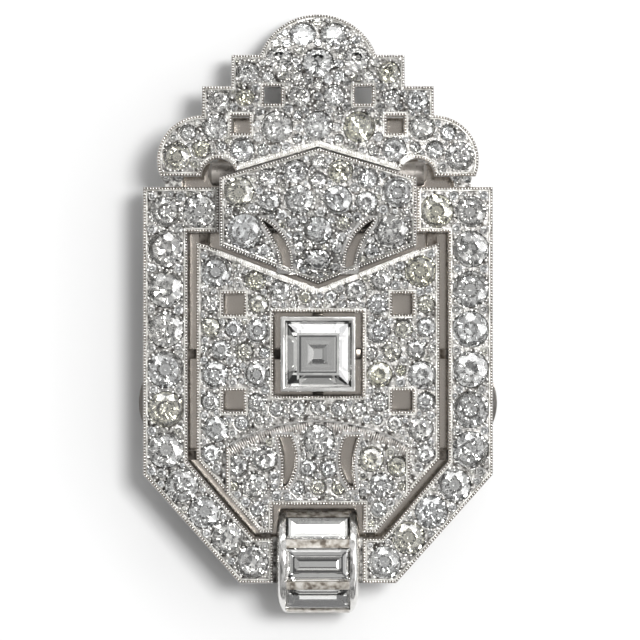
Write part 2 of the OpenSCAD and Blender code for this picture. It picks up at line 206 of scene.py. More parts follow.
polished = metalFinish("platinumPolished", light=(0.80, 0.79, 0.77), dark=(0.66, 0.65, 0.63),
                       rough=(0.10, 0.22), bump=0.02)
threaded = metalFinish("platinumThread", light=(0.66, 0.65, 0.62), dark=(0.22, 0.21, 0.19),
                       rough=(0.3, 0.5), bump=0.6, grain=1500)
beaded = metalFinish("platinumBeaded", light=(0.88, 0.87, 0.85), dark=(0.72, 0.71, 0.69),
                     rough=(0.2, 0.32), bump=0.1)
dulled = metalFinish("platinumDulled", light=(0.72, 0.71, 0.69), dark=(0.34, 0.33, 0.31),
                     rough=(0.25, 0.4), bump=0.3, grain=1800)
# a dark band under the beads of the rims
darkUnderBeads = metalFinish("platinumDarkUnderBeads", light=(0.16, 0.14, 0.12), dark=(0.05, 0.04, 0.03),
                        rough=(0.30, 0.55), bump=0.5)
corded = metalFinish("platinumCorded", light=(0.56, 0.53, 0.50), dark=(0.26, 0.24, 0.22),
                     rough=(0.3, 0.5), bump=0.3)
darkSteel = metalFinish("pinSteel", light=(0.30, 0.28, 0.27), dark=(0.14, 0.13, 0.12),
                        rough=(0.12, 0.25), bump=0.2)
# painted shade: a dark metal for walls that face metal across a gap and for the knuckles under the crest
gapShadeMetal = metalFinish("platinumPaintedShadeInGaps", light=(0.44, 0.41, 0.38), dark=(0.22, 0.20, 0.18),
                       rough=(0.22, 0.4), bump=0.3, grain=1400, metallic=0.4)
# painted shade: a near-black metal for the low struts between the plates
strutShadeMetal = metalFinish("platinumPaintedShadeOnStruts", light=(0.10, 0.09, 0.08), dark=(0.02, 0.015, 0.01),
                         rough=(0.22, 0.4), bump=0.3, grain=1400)

plateLook = {"facesUp": (0.5, 0.7), "rough": (0.18, 0.4), "roughGrain": 2600, "bump": 0.35, "bumpGrain": 4500,
             "ground": [(0.38, (0.06, 0.055, 0.05)), (0.62, (0.48, 0.47, 0.45))], "groundGrain": 2200,
             "wallDark": (0.62, 0.61, 0.59), "wallLight": (0.80, 0.79, 0.77), "wallGrain": 900}


def plateFinish():
    # a dark mottled ground on what faces up, between the grains, and plain polished walls
    mat, tree, shader = newMaterial("platinumPlate")
    shader.inputs["Metallic"].default_value = 1.0
    facing = tree.nodes.new("ShaderNodeNewGeometry").outputs["Normal"]
    up = spread(tree, partOf(tree, facing, "Z"), *plateLook["facesUp"], 0, 1)
    ground = ramp(tree, noiseOn(tree, plateLook["groundGrain"], 4), plateLook["ground"])
    wall = clouded(tree, plateLook["wallDark"], plateLook["wallLight"], plateLook["wallGrain"])
    tree.links.new(mixed(tree, up, wall, ground), shader.inputs["Base Color"])
    roughen(tree, shader, *plateLook["rough"], plateLook["roughGrain"])
    bumpFrom(tree, noiseOn(tree, plateLook["bumpGrain"], 5), plateLook["bump"], 0.03, shader)
    return mat


# painted shade: the bezel turns near black below darkBelow and is polished above brightAbove
bezelLook = {"darkBelow": 4.7, "brightAbove": 5.0, "rough": (0.12, 0.24), "roughGrain": 1200,
             "bump": 0.04, "bumpGrain": 1500,
             "lowDark": (0.045, 0.04, 0.035), "lowLight": (0.09, 0.08, 0.07), "lowGrain": 1500,
             "topDark": (0.72, 0.71, 0.69), "topLight": (0.86, 0.85, 0.83), "topGrain": 700}


def bezelFinish():
    # polished on top, with painted shade low down, between two heights in mm
    mat, tree, shader = newMaterial("bezelPolishedPaintedShadeLow")
    shader.inputs["Metallic"].default_value = 1.0
    height = partOf(tree, tree.nodes.new("ShaderNodeTexCoord").outputs["Object"], "Z")
    rise = spread(tree, height, bezelLook["darkBelow"] * mm, bezelLook["brightAbove"] * mm, 0, 1)
    top = clouded(tree, bezelLook["topDark"], bezelLook["topLight"], bezelLook["topGrain"], 3)
    low = clouded(tree, bezelLook["lowDark"], bezelLook["lowLight"], bezelLook["lowGrain"])
    tree.links.new(mixed(tree, rise, low, top), shader.inputs["Base Color"])
    roughen(tree, shader, *bezelLook["rough"], bezelLook["roughGrain"])
    bumpFrom(tree, noiseOn(tree, bezelLook["bumpGrain"], 3), bezelLook["bump"], 0.02, shader)
    return mat


# the setting's rails between the stones are mottled and its cheeks polished
cradleLook = {"edge": 2.62, "insideMetal": 0.6, "grain": 1900, "rough": (0.12, 0.26),
              "inside": [(0.36, (0.20, 0.17, 0.14)), (0.5, (0.56, 0.52, 0.46)), (0.66, (0.86, 0.83, 0.78))],
              "outside": [(0.3, (0.72, 0.71, 0.69)), (0.7, (0.86, 0.85, 0.83))]}
# the flap is satin, and its finger ears get painted shade
flapLook = {"edge": 14.5, "insideMetal": 1.0, "grain": 260, "rough": (0.10, 0.16),
            "inside": [(0.3, (0.57, 0.52, 0.465)), (0.7, (0.61, 0.56, 0.505))],
            "outside": [(0.3, (0.20, 0.19, 0.18)), (0.7, (0.34, 0.32, 0.30))]}
acrossWork = {"blendHalf": 0.06, "roughGrain": 1500, "bump": 0.05, "bumpGrain": 900}


def acrossFinish(name, look):
    # one look inside an edge, measured in mm from the middle line, and another outside it
    mat, tree, shader = newMaterial(name)
    place = tree.nodes.new("ShaderNodeTexCoord").outputs["Object"]
    away = tree.nodes.new("ShaderNodeMath")
    away.operation = "ABSOLUTE"
    tree.links.new(partOf(tree, place, "X"), away.inputs[0])
    start, end = [(look["edge"] + side * acrossWork["blendHalf"]) * mm for side in (-1, 1)]
    outside = spread(tree, away.outputs["Value"], start, end, 0, 1)
    shader.inputs["Metallic"].default_value = 1.0
    if look["insideMetal"] < 1:
        tree.links.new(spread(tree, outside, 0, 1, look["insideMetal"], 1), shader.inputs["Metallic"])
    fine = noiseOn(tree, look["grain"], 4)
    tree.links.new(mixed(tree, outside, ramp(tree, fine, look["inside"]), ramp(tree, fine, look["outside"])),
                   shader.inputs["Base Color"])
    roughen(tree, shader, *look["rough"], acrossWork["roughGrain"])
    bumpFrom(tree, noiseOn(tree, acrossWork["bumpGrain"], 3), acrossWork["bump"], 0.01, shader)
    return mat


# the plate's own finish, then painted shade for gaps and darker painted shade for struts
plateFinishes = [plateFinish(), gapShadeMetal, strutShadeMetal]
for node, finishes in (("plaque", plateFinishes), ("keystone", plateFinishes), ("hinge_pin", [darkSteel])):
    nodes[node].data.materials.clear()
    for finish in finishes:
        nodes[node].data.materials.append(finish)


# diamond: clear crowns over back facets that throw all light forward again, as a well cut stone's do

stoneTones = [(0.0, (0.965, 0.955, 0.885)), (0.3, (0.995, 0.99, 0.975)), (1.0, (0.986, 0.991, 0.990))]
crownLook = {"Transmission Weight": 1.0, "IOR": 2.42, "Roughness": 0.0}
backLook = {"Metallic": 1.0, "Roughness": 0.0}


def diamondFinish(name, look, strength):
    # each stone has its own faint colour, from yellowish to bluish
    mat, tree, shader = newMaterial(name)
    for socket, value in look.items():
        shader.inputs[socket].default_value = value
    tone = tree.nodes.new("ShaderNodeAttribute")
    tone.attribute_name = "tone"
    stops = [(at, [part * strength for part in colour]) for at, colour in stoneTones]
    tree.links.new(ramp(tree, tone.outputs["Fac"], stops), shader.inputs["Base Color"])
    return mat


stoneFinishes = [diamondFinish("diamond", crownLook, 1.0), diamondFinish("diamondBack", backLook, 0.96)]
print("finishes ready")


# round diamonds, cut with a radius of 1: angles in degrees, table and culet as shares of the radius

roundCuts = [
    {"table": 0.52, "crown": 32, "halves": 38, "star": 17, "back": 39.8, "backHalves": 41.6, "culet": 0.80},
    {"table": 0.47, "crown": 30, "halves": 37, "star": 15, "back": 39.0, "backHalves": 41.0, "culet": 0.77},
    {"table": 0.56, "crown": 33, "halves": 39, "star": 19, "back": 40.2, "backHalves": 41.4, "culet": 0.81},
]
seedCut = {"table": 0.5, "crown": 33, "back": 14, "culet": 0.2}
cutting = {"girdleHalf": 0.02, "sides": 32, "seedSides": 16, "mainStep": 45, "backBelow": 0.15,
           "weldBelow": 0.004, "flatBelow": 0.01}


def cutAway(bm, normal, distance):
    # one facet: all that lies outside the plane is ground off
    geom = bm.verts[:] + bm.edges[:] + bm.faces[:]
    cut = bmesh.ops.bisect_plane(bm, geom=geom, dist=1e-5, plane_co=normal * distance, plane_no=normal,
                                 clear_outer=True)
    rim = [e for e in cut["geom_cut"] if isinstance(e, bmesh.types.BMEdge)]
    if rim:
        bmesh.ops.holes_fill(bm, edges=rim, sides=0)


def facet(tilt, azimuth):
    tilt, azimuth = math.radians(tilt), math.radians(azimuth)
    return Vector((math.sin(tilt) * math.cos(azimuth), math.sin(tilt) * math.sin(azimuth), math.cos(tilt)))


def silverBacks(bm):
    bm.normal_update()
    for f in bm.faces:
        f.material_index = 1 if f.normal.z < cutting["backBelow"] else 0


def cutBrilliant(cut, sides):
    # a cylinder with rings of facets ground off, as many of the five rings as the cut names
    bm = bmesh.new()
    bmesh.ops.create_cone(bm, cap_ends=True, segments=sides, radius1=1, radius2=1, depth=2)
    girdle = cutting["girdleHalf"]
    crownHeight = girdle + (1 - cut["table"]) * math.tan(math.radians(cut["crown"]))
    half, quarter = cutting["mainStep"] / 2, cutting["mainStep"] / 4
    edge = Vector((1, 0, girdle))
    halfEdge = Vector((math.cos(math.radians(quarter)), 0, girdle))
    tableEdge = Vector((cut["table"] * math.cos(math.radians(half)), 0, crownHeight))
    cutAway(bm, Vector((0, 0, 1)), crownHeight)
    cutAway(bm, Vector((0, 0, -1)), cut["culet"])
    rings = (("crown", 8, 0, edge, 1), ("star", 8, half, tableEdge, 1), ("halves", 16, quarter, halfEdge, 1),
             ("back", 8, 0, edge, -1), ("backHalves", 16, quarter, halfEdge, -1))
    for name, count, first, point, side in rings:
        if name in cut:
            reach = facet(cut[name], 0).dot(point)
            for k in range(count):
                normal = facet(cut[name], first + k * 360 / count)
                normal.z *= side
                cutAway(bm, normal, reach)
    bmesh.ops.remove_doubles(bm, verts=bm.verts, dist=cutting["weldBelow"])
    bmesh.ops.dissolve_limit(bm, angle_limit=cutting["flatBelow"], verts=bm.verts, edges=bm.edges)
    bmesh.ops.recalc_face_normals(bm, faces=bm.faces)
    silverBacks(bm)
    return asMesh("cut", bm)


def looseParts(bm):
    # the vertices of each part that is joined to no other, always in the same order
    parts, seen = [], set()
    for start in bm.verts:
        if start in seen:
            continue
        seen.add(start)
        part, queue = [], [start]
        while queue:
            v = queue.pop()
            part.append(v)
            fresh = [e.other_vert(v) for e in v.link_edges if e.other_vert(v) not in seen]
            seen.update(fresh)
            queue += fresh
        parts.append(part)
    return parts


def stoneSpots(node):
    # where each stone of a field lies: middle of its girdle, axis and radius
    bm = mergedCopy(node)
    spots = []
    for part in looseParts(bm):
        tip = max(part, key=lambda v: len(v.link_edges))
        rest = [v.co for v in part if v is not tip]
        axis = (sum(rest, Vector()) / len(rest) - tip.co).normalized()
        away = [(p - tip.co - axis * axis.dot(p - tip.co)).length for p in rest]
        widest = rest[away.index(max(away))]
        spots.append((tip.co + axis * axis.dot(widest - tip.co), axis, max(away)))
    bm.free()
    return sorted(spots, key=lambda s: (round(s[0].y, 5), round(s[0].x, 5)))


stoneSetting = {"tiltDegrees": 3.5, "smallest": 0.975, "largest": 0.995,
                "yellowShare": 0.16, "yellowTones": (0, 0.15), "whiteTones": (0.3, 1)}
brilliants = [cutBrilliant(cut, cutting["sides"]) for cut in roundCuts]
allSpots = []
for node in ("crest_stones", "frame_stones", "keystone_stones", "panel_stones", "fan_stones"):
    spots = stoneSpots(node)
    allSpots += spots
    copies = []
    for centre, axis, radius in spots:
        lean = Matrix.Rotation(math.radians(dice.uniform(-1, 1) * stoneSetting["tiltDegrees"]), 4, "X")
        size = radius * dice.uniform(stoneSetting["smallest"], stoneSetting["largest"])
        turn = turnTo(axis, dice.uniform(0, math.tau)) @ lean
        tones = "yellowTones" if dice.random() < stoneSetting["yellowShare"] else "whiteTones"
        tone = dice.uniform(*stoneSetting[tones])
        copies.append(placed(dice.choice(brilliants), centre, turn, (size, size, size), tone))
    name = pieceName(node)
    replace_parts(placeMesh(name, joinCopies(name, copies), stoneFinishes), node)
print("round stones:", len(allSpots), "with", len(brilliants[0].polygons), "facets each")


# step-cut diamonds: steps of the crown and of the back, each so far in and so high, in mm

centreCut = {"girdle": 0.1, "crown": [(0.28, 0.17), (0.67, 0.37)],
             "back": [(0.12, 0.13), (1.03, 0.92), (0.70, 0.54), (0.47, 0.22)], "girdleDown": 0.65}
baguetteCut = {"girdle": 0.06, "crown": [(0.3, 0.17), (0.3, 0.07)],
               "back": [(0.3, 0.33), (0.42, 0.36), (0.4, 0.23)]}
# the upper stone's back leans to the light
upperCut = {"girdle": 0.06, "crown": [(0.08, 0.08), (0.14, 0.05)],
            "back": [(0.08, 0.16), (0.4, 0.05), (0.4, 0.03)], "leanDegrees": 6.5}
barrel = {"y": -20.73, "z": 2.75, "radius": 4.25, "girdleRadius": 3.85, "pitchDegrees": 48,
          "stoneLength": 2.7}
stepTone = 0.6


def stepCut(name, width, length, cut, place):
    # a thin block whose top and bottom go in by steps from the girdle
    bm = bmesh.new()
    bmesh.ops.create_cube(bm, size=1)
    bmesh.ops.scale(bm, vec=(width, length, cut["girdle"]), verts=bm.verts)
    for side, steps in ((1, cut["crown"]), (-1, cut["back"])):
        face = max(bm.faces, key=lambda f: side * f.calc_center_median().z)
        for inset, height in steps:
            bmesh.ops.inset_individual(bm, faces=[face], thickness=inset, depth=height, use_even_offset=True)
    if "leanDegrees" in cut:
        for v in bm.verts:
            if v.co.z < -cut["girdle"]:
                v.co.z += v.co.y * math.tan(math.radians(cut["leanDegrees"]))
        bmesh.ops.triangulate(bm, faces=bm.faces)
    silverBacks(bm)
    copies = [(asMesh("stepCut", bm), place @ Matrix.Scale(mm, 4), stepTone)]
    return placeMesh(name, joinCopies(name, copies), stoneFinishes)


low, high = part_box("centre_stone")
centreWidth = (high.x - low.x) / mm
centreSpot = ((low.x + high.x) / 2, (low.y + high.y) / 2, high.z - centreCut["girdleDown"] * mm)
stone = stepCut("centreStone", centreWidth, centreWidth, centreCut, Matrix.Translation(centreSpot))
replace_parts(stone, "centre_stone")
for node, turn, cut in (("baguette_upper", 1, upperCut), ("baguette_middle", 0, baguetteCut),
                        ("baguette_lower", -1, baguetteCut)):
    low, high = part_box(node)
    onBarrel = (Matrix.Translation((0, barrel["y"] * mm, barrel["z"] * mm))
                @ Matrix.Rotation(math.radians(-turn * barrel["pitchDegrees"]), 4, "X")
                @ Matrix.Translation((0, 0, barrel["girdleRadius"] * mm)))
    name = pieceName(node)
    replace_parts(stepCut(name, (high.x - low.x) / mm, barrel["stoneLength"], cut, onBarrel), node)
print("step-cut stones done")


# where the metal and the round stones are

bm = bmesh.new()
for node in ("plaque", "keystone", "centre_collet", "baguette_cradle"):
    bm.from_mesh(nodes[node].data)
plateFaces = len(nodes["plaque"].data.polygons) + len(nodes["keystone"].data.polygons)
metalTree = BVHTree.FromBMesh(bm)
bm.free()
# rays for the tops start so high, in mm, and take only faces that look up by more than this
looking = {"from": 30, "facesUp": 0.55}


def treeOf(points):
    tree = KDTree(len(points))
    for i, point in enumerate(points):
        tree.insert(point, i)
    tree.balance()
    return tree


def fromStone(point):
    # how far a point is outside the nearest round stone, square to that stone's axis
    best = 1.0
    for place, i, away in stoneTree.find_n(point, 5):
        centre, axis, radius = allSpots[i]
        across = point - centre
        best = min(best, (across - axis * axis.dot(across)).length - radius)
    return best


def topAt(x, y):
    # the top of the plates and its normal under a place, or None
    hit, normal, index, away = metalTree.ray_cast(Vector((x, y, looking["from"] * mm)), Vector((0, 0, -1)))
    return (hit, normal) if hit and normal.z > looking["facesUp"] and index < plateFaces else None


stoneTree = treeOf([centre for centre, axis, radius in allSpots])


# in the gaps, painted shade: dark walls where metal faces metal, darker struts, and dark knuckles under the
# crest

gaps = {"widest": 4.5, "strutTop": 4.3, "crestFrom": 10.0, "knuckleTo": 13.6, "knuckleFacesUp": 0.1,
        "footHalf": 4.2, "footFrom": -15.6, "seat": 0.12, "facesUp": 0.7, "off": 0.02}


def gapShadeFinish(f):
    # which of plateFinishes a face gets: 0 its own, 1 painted shade on walls across gaps and on knuckles, 2
    # darker painted shade on struts
    x, y, z = f.center / mm
    isLow = z < gaps["strutTop"]
    if y > gaps["crestFrom"]:
        return 1 if isLow and f.normal.z > gaps["knuckleFacesUp"] and y < gaps["knuckleTo"] else 0
    atFoot = abs(x) < gaps["footHalf"] and y < gaps["footFrom"]
    if atFoot or fromStone(f.center) < gaps["seat"] * mm:
        return 0
    if f.normal.z > gaps["facesUp"]:
        return 2 if isLow else 0
    start = f.center + f.normal * gaps["off"] * mm
    hit = metalTree.ray_cast(start, f.normal, gaps["widest"] * mm)[0]
    return 1 if hit and f.normal.z > -gaps["facesUp"] else 0


for node in ("plaque", "keystone"):
    for f in nodes[node].data.polygons:
        f.material_index = gapShadeFinish(f)


# rims: the upright edge, its row of beads and the bright thread behind it

rimWork = {"cornerDegrees": 30, "shortest": 0.06, "shortestRun": 1.5, "sunk": 0.05, "sunkFrom": 0.02,
           "mitreLimit": 0.45, "pointPitch": 0.2, "topFacesUp": 0.6, "wallFacesUp": 0.35, "seen": 0.06,
           "inward": 0.03, "seatFrom": -0.04, "seatTo": 0.14}
# each band ends so far in and so high, in mm, with a finish: 0 polished, 1 dark under the beads, 2 thread
rimBands = {
    "beaded": [(0.0, 0.0, 0), (0.03, 0.03, 0), (0.20, 0.02, 1),
               (0.24, 0.04, 2), (0.31, 0.04, 2), (0.38, -0.01, 2)],
    "slot": [(0.0, 0.0, 0), (0.03, 0.03, 0), (0.20, 0.02, 1),
             (0.24, 0.08, 0), (0.46, 0.07, 0), (0.54, -0.01, 0)],
    "strip": [(0.0, 0.0, 0), (0.05, 0.05, 0), (0.48, 0.06, 2), (0.55, -0.01, 0)],
    "arc": [(0.0, 0.0, 0), (0.03, 0.05, 0), (0.12, 0.05, 0), (0.16, -0.01, 0)],
}
rimBeads = {"inset": 0.132, "pitch": 0.24, "radius": 0.108, "smallest": 0.92, "largest": 1.05, "short": 0.82,
            "lift": 0.03}
stripRibs = {"inset": 0.27, "pitch": 0.2, "sizes": (0.05, 0.2, 0.05), "lift": 0.06, "dullEvery": 3}
fanArc = {"x": 0, "y": -23.71, "radius": 14.84, "within": 0.06}
slotSize = {"widest": 3, "shortest": 2, "longest": 6.5}
# the strips lie on the crest's and the panel's edges that face the keystone
chevrons = {"crest": (11.0, 14.0), "panel": (1.9, 5.5), "reach": 8.5, "facing": 0.6, "slant": 0.2,
            "widthFrom": 8}


def fromFanMiddle(point):
    return math.hypot(point.x / mm - fanArc["x"], point.y / mm - fanArc["y"])


def isSeen(point):
    top = topAt(point.x, point.y)
    return top is not None and abs(top[0].z - point.z) < rimWork["seen"] * mm


def rimEdge(e):
    # for a seen top edge of a plate: the side that its metal is on and the top's normal, else None
    if len(e.link_faces) != 2:
        return None
    top, wall = sorted(e.link_faces, key=lambda f: -f.normal.z)
    middle = (e.verts[0].co + e.verts[1].co) / 2
    if top.normal.z < rimWork["topFacesUp"] or abs(wall.normal.z) > rimWork["wallFacesUp"]:
        return None
    if wall.calc_center_median().z > middle.z:
        return None
    into = Vector((-wall.normal.x, -wall.normal.y, 0)).normalized()
    isSeat = rimWork["seatFrom"] * mm < fromStone(middle) < rimWork["seatTo"] * mm
    if isSeat or not isSeen(middle + into * rimWork["inward"] * mm):
        return None
    return into, top.normal.copy()


def rimLoops(node):
    # the rim edges of a node strung together: points, the sides of the stretches, and whether it closes
    bm = mergedCopy(node)
    sides, graph = {}, {}
    for e in bm.edges:
        side = rimEdge(e)
        if side:
            sides[e] = side
            for v in e.verts:
                graph.setdefault(v, []).append(e)
    loops, loose = [], set(sides)
    for start in [v for v in graph if len(graph[v]) != 2] + list(graph):
        while any(e in loose for e in graph[start]):
            v, points, stretches = start, [start.co.copy()], []
            while len(points) == 1 or len(graph[v]) == 2:
                e = next((e for e in graph[v] if e in loose), None)
                if e is None:
                    break
                loose.discard(e)
                v = e.other_vert(v)
                points.append(v.co.copy())
                stretches.append(sides[e])
            loops.append((points, stretches, v is start))
    bm.free()
    return loops


def kindOf(middle, into, size):
    # which of rimBands a stretch gets
    y = middle.y / mm
    if abs(fromFanMiddle(middle) - fanArc["radius"]) < fanArc["within"] and into.y < 0:
        return "arc"
    width, length = size.x / mm, size.y / mm
    if width < slotSize["widest"] and slotSize["shortest"] < length < slotSize["longest"]:
        return "slot"
    onCrest = chevrons["crest"][0] < y < chevrons["crest"][1] and into.y > chevrons["facing"]
    onPanel = chevrons["panel"][0] < y < chevrons["panel"][1] and into.y < -chevrons["facing"]
    isSlanted = abs(into.x) > chevrons["slant"] and abs(middle.x) < chevrons["reach"] * mm
    if (onCrest or onPanel) and isSlanted and width > chevrons["widthFrom"]:
        return "strip"
    return "beaded"


def thinned(points, stretches, closed):
    # leaves out the points that lie too close together
    kept, sides = [points[0]], []
    for point, side in zip(points[1:], stretches):
        if (point - kept[-1]).length > rimWork["shortest"] * mm:
            kept.append(point)
            sides.append(side)
    if closed and (kept[0] - kept[-1]).length < rimWork["shortest"] * mm:
        kept.pop()
    return kept, sides


def cutByKind(path, kinds, closed):
    # runs of one kind of rim, each with whether it closes and its kind
    if closed and len(set(kinds)) == 1:
        return [(path, True, kinds[0])]
    if closed:
        turn = next(k for k in range(len(kinds)) if kinds[k] != kinds[k - 1])
        path, kinds = path[turn:] + path[:turn], kinds[turn:] + kinds[:turn]
        path.append(path[0])
    runs, first = [], 0
    for k in range(1, len(kinds) + 1):
        if k == len(kinds) or kinds[k] != kinds[first]:
            runs.append((path[first:k + 1], False, kinds[first]))
            first = k
    return runs


def rimPaths(points, stretches, closed):
    # mitres the corners of a loop: a path is a list of point, mitre, slope across and normal
    kept, sides = thinned(points, stretches, closed)
    if not closed and sum((b - a).length for a, b in zip(kept, kept[1:])) < rimWork["shortestRun"] * mm:
        return []
    ends = kept + [kept[0]] if closed else kept
    size = Vector([max(p[k] for p in kept) - min(p[k] for p in kept) for k in range(3)])
    across, kinds = [], []
    for k, (a, b) in enumerate(zip(ends, ends[1:])):
        square = Vector((a.y - b.y, b.x - a.x, 0)).normalized()
        into = sides[min(k, len(sides) - 1)][0]
        across.append(square if square.dot(into) > 0 else -square)
        kinds.append(kindOf((a + b) / 2, across[-1], size))
    count = len(across)
    path = []
    for k, point in enumerate(kept):
        before = (k - 1) % count if closed else max(k - 1, 0)
        after = k % count if closed else min(k, count - 1)
        share = max(1 + across[before].dot(across[after]), rimWork["mitreLimit"])
        mitre = (across[before] + across[after]) / share
        normals = [sides[min(side, len(sides) - 1)][1] for side in (before, after)]
        normal = (normals[0] + normals[1]).normalized()
        slope = -(normal.x * mitre.x + normal.y * mitre.y) / normal.z
        path.append((point, mitre, slope, normal))
    return cutByKind(path, kinds, closed)


def onRim(record, inset, lift):
    point, mitre, slope, normal = record
    return point + mitre * inset * mm + Vector((0, 0, (slope * inset + lift) * mm))


def sweepBands(bm, path, closed, bands):
    # draws the first ring and extrudes it from band to band, then closes it underneath
    ring = [bm.verts.new(onRim(record, *bands[0][:2])) for record in path]
    spotOf = {v: k for k, v in enumerate(ring)}
    edges = [bm.edges.new(pair) for pair in zip(ring, ring[1:] + ring[:1] if closed else ring[1:])]
    under = [(bands[-1][0], -rimWork["sunk"], 0), (rimWork["sunkFrom"], -rimWork["sunk"], 0),
             (*bands[0][:2], 0)]
    for inset, lift, finish in bands[1:] + under:
        made = bmesh.ops.extrude_edge_only(bm, edges=edges)["geom"]
        fresh = {v: spotOf[next(e.other_vert(v) for e in v.link_edges if e.other_vert(v) in spotOf)]
                 for v in made if isinstance(v, bmesh.types.BMVert)}
        for v, k in fresh.items():
            v.co = onRim(path[k], inset, lift)
        edges = [e for e in made if isinstance(e, bmesh.types.BMEdge) and all(v in fresh for v in e.verts)]
        for f in made:
            if isinstance(f, bmesh.types.BMFace):
                f.material_index = finish
        spotOf = fresh
    last = sorted(spotOf, key=spotOf.get)
    bmesh.ops.weld_verts(bm, targetmap=dict(zip(last, ring)))


def strung(path, closed, inset, pitch):
    # places for beads: evenly along each straight or curve, with one at every corner
    line = [onRim(record, inset, 0) for record in path]
    normals = [record[3] for record in path]
    if closed:
        line, normals = line + [line[0]], normals + [normals[0]]
    cuts = [0]
    for k in range(1, len(line) - 1):
        before, after = (line[k] - line[k - 1]).normalized(), (line[k + 1] - line[k]).normalized()
        if before.dot(after) < math.cos(math.radians(rimWork["cornerDegrees"])):
            cuts.append(k)
    cuts.append(len(line) - 1)
    spots = []
    for a, b in zip(cuts, cuts[1:]):
        lengths = [(line[k + 1] - line[k]).length for k in range(a, b)]
        total = sum(lengths)
        count = max(1, round(total / (pitch * mm)))
        k, passed = a, 0.0
        for j in range(count + (b == len(line) - 1 and not closed)):
            want = total * j / count
            while k < b - 1 and passed + lengths[k - a] < want:
                passed += lengths[k - a]
                k += 1
            share = min((want - passed) / max(lengths[k - a], 1e-9), 1)
            spots.append((line[k].lerp(line[k + 1], share), normals[k], line[k + 1] - line[k]))
    return spots


domes = {"segments": 8, "rings": 5, "under": 0.3}


def domeShape(finish):
    # a low round bead, cut off under its middle
    bm = bmesh.new()
    bmesh.ops.create_uvsphere(bm, u_segments=domes["segments"], v_segments=domes["rings"], radius=1)
    cutAway(bm, Vector((0, 0, -1)), domes["under"])
    for f in bm.faces:
        f.material_index = finish
    return asMesh("dome", bm)


dome, dullDome = domeShape(0), domeShape(1)
rimPoints = []
for node in ("plaque", "keystone"):
    bm = bmesh.new()
    beads, ribs, kindsMade = [], [], {}
    for points, stretches, closed in rimLoops(node):
        for path, whole, kind in rimPaths(points, stretches, closed):
            kindsMade[kind] = kindsMade.get(kind, 0) + 1
            sweepBands(bm, path, whole, rimBands[kind])
            line = [record[0] for record in path] + ([path[0][0]] if whole else [])
            for a, b in zip(line, line[1:]):
                steps = max(1, round((b - a).length / (rimWork["pointPitch"] * mm)))
                rimPoints += [a.lerp(b, j / steps) for j in range(steps)]
            if kind in ("beaded", "slot"):
                beads += strung(path, whole, rimBeads["inset"], rimBeads["pitch"])
            if kind == "strip":
                ribs += strung(path, whole, stripRibs["inset"], stripRibs["pitch"])
    bmesh.ops.recalc_face_normals(bm, faces=bm.faces)
    placeMesh(node + "Rims", asMesh(node + "Rims", bm), [polished, darkUnderBeads, threaded])
    copies = []
    for spot, normal, along in beads:
        size = rimBeads["radius"] * mm * dice.uniform(rimBeads["smallest"], rimBeads["largest"])
        copies.append(placed(dome, spot + normal * rimBeads["lift"] * mm, turnAlong(along),
                             (size * rimBeads["short"], size, size)))
    for k, (spot, normal, along) in enumerate(ribs):
        shape = dome if k % stripRibs["dullEvery"] else dullDome
        copies.append(placed(shape, spot + normal * stripRibs["lift"] * mm, turnAlong(along),
                             [part * mm for part in stripRibs["sizes"]]))
    placeMesh(node + "Beads", joinCopies(node + "Beads", copies), [beaded, dulled], smooth=True)
    print(node, "rims:", kindsMade, "beads and ribs:", len(copies))
rimTree = treeOf(rimPoints)


# fields: the tops of the plates, where seed stones and grains are set

fieldWork = {"lowest": 4.4, "crestFrom": 16, "fanLow": 5.0, "fanHigh": 5.2, "fanBelow": -8, "cordsFrom": 13.6}
boxLow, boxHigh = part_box("plaque")


def isPlate(spot):
    # not a strut or a knuckle: the plates are high, but for the crest's far end, which curves down
    return spot.z > fieldWork["lowest"] * mm or spot.y > fieldWork["crestFrom"] * mm


def isUnderCords(spot):
    isFanHigh = fieldWork["fanLow"] * mm < spot.z < fieldWork["fanHigh"] * mm
    isFar = fromFanMiddle(spot) > fieldWork["cordsFrom"]
    return isFanHigh and spot.y < fieldWork["fanBelow"] * mm and isFar


def scattered(pitch, margin):
    # places on a loose grid over the plaque, each anywhere in its cell but for a margin
    step = pitch * mm
    for i in range(round((boxHigh.x - boxLow.x) / step)):
        for j in range(round((boxHigh.y - boxLow.y) / step)):
            x = boxLow.x + (i + dice.uniform(margin, 1 - margin)) * step
            y = boxLow.y + (j + dice.uniform(margin, 1 - margin)) * step
            yield x, y


# seed stones: tiny ones wherever a field has room between the larger ones

seedWork = {"pitch": 0.2, "margin": 0.1, "fromRim": 0.36, "gap": 0.05, "smallest": 0.19, "largest": 0.4,
            "lift": 0.08, "tiltDegrees": 5, "tones": (0.1, 1)}


def roomAt(spot):
    # the radius of the largest seed stone that a place has room for
    return min(fromStone(spot) - seedWork["gap"] * mm, rimTree.find(spot)[2] - seedWork["fromRim"] * mm,
               seedWork["largest"] * mm)


rooms = []
for x, y in scattered(seedWork["pitch"], seedWork["margin"]):
    top = topAt(x, y)
    room = roomAt(top[0]) if top and isPlate(top[0]) and not isUnderCords(top[0]) else 0
    if room > seedWork["smallest"] * mm:
        rooms.append((room, len(rooms), top))
seeds = []
for room, order, (spot, normal) in sorted(rooms, reverse=True):
    if all((spot - other).length > room + size + seedWork["gap"] * mm for other, axis, size in seeds):
        seeds.append((spot, normal, room))
seed = cutBrilliant(seedCut, cutting["seedSides"])
copies = []
for spot, axis, size in seeds:
    spun = turnTo(axis, dice.uniform(0, 1))
    tilt = math.radians(dice.uniform(-seedWork["tiltDegrees"], seedWork["tiltDegrees"]))
    copies.append(placed(seed, spot + axis * seedWork["lift"] * mm, spun @ Matrix.Rotation(tilt, 4, "X"),
                         (size, size, size), dice.uniform(*seedWork["tones"])))
placeMesh("seedStones", joinCopies("seedStones", copies), stoneFinishes)
allSpots += seeds
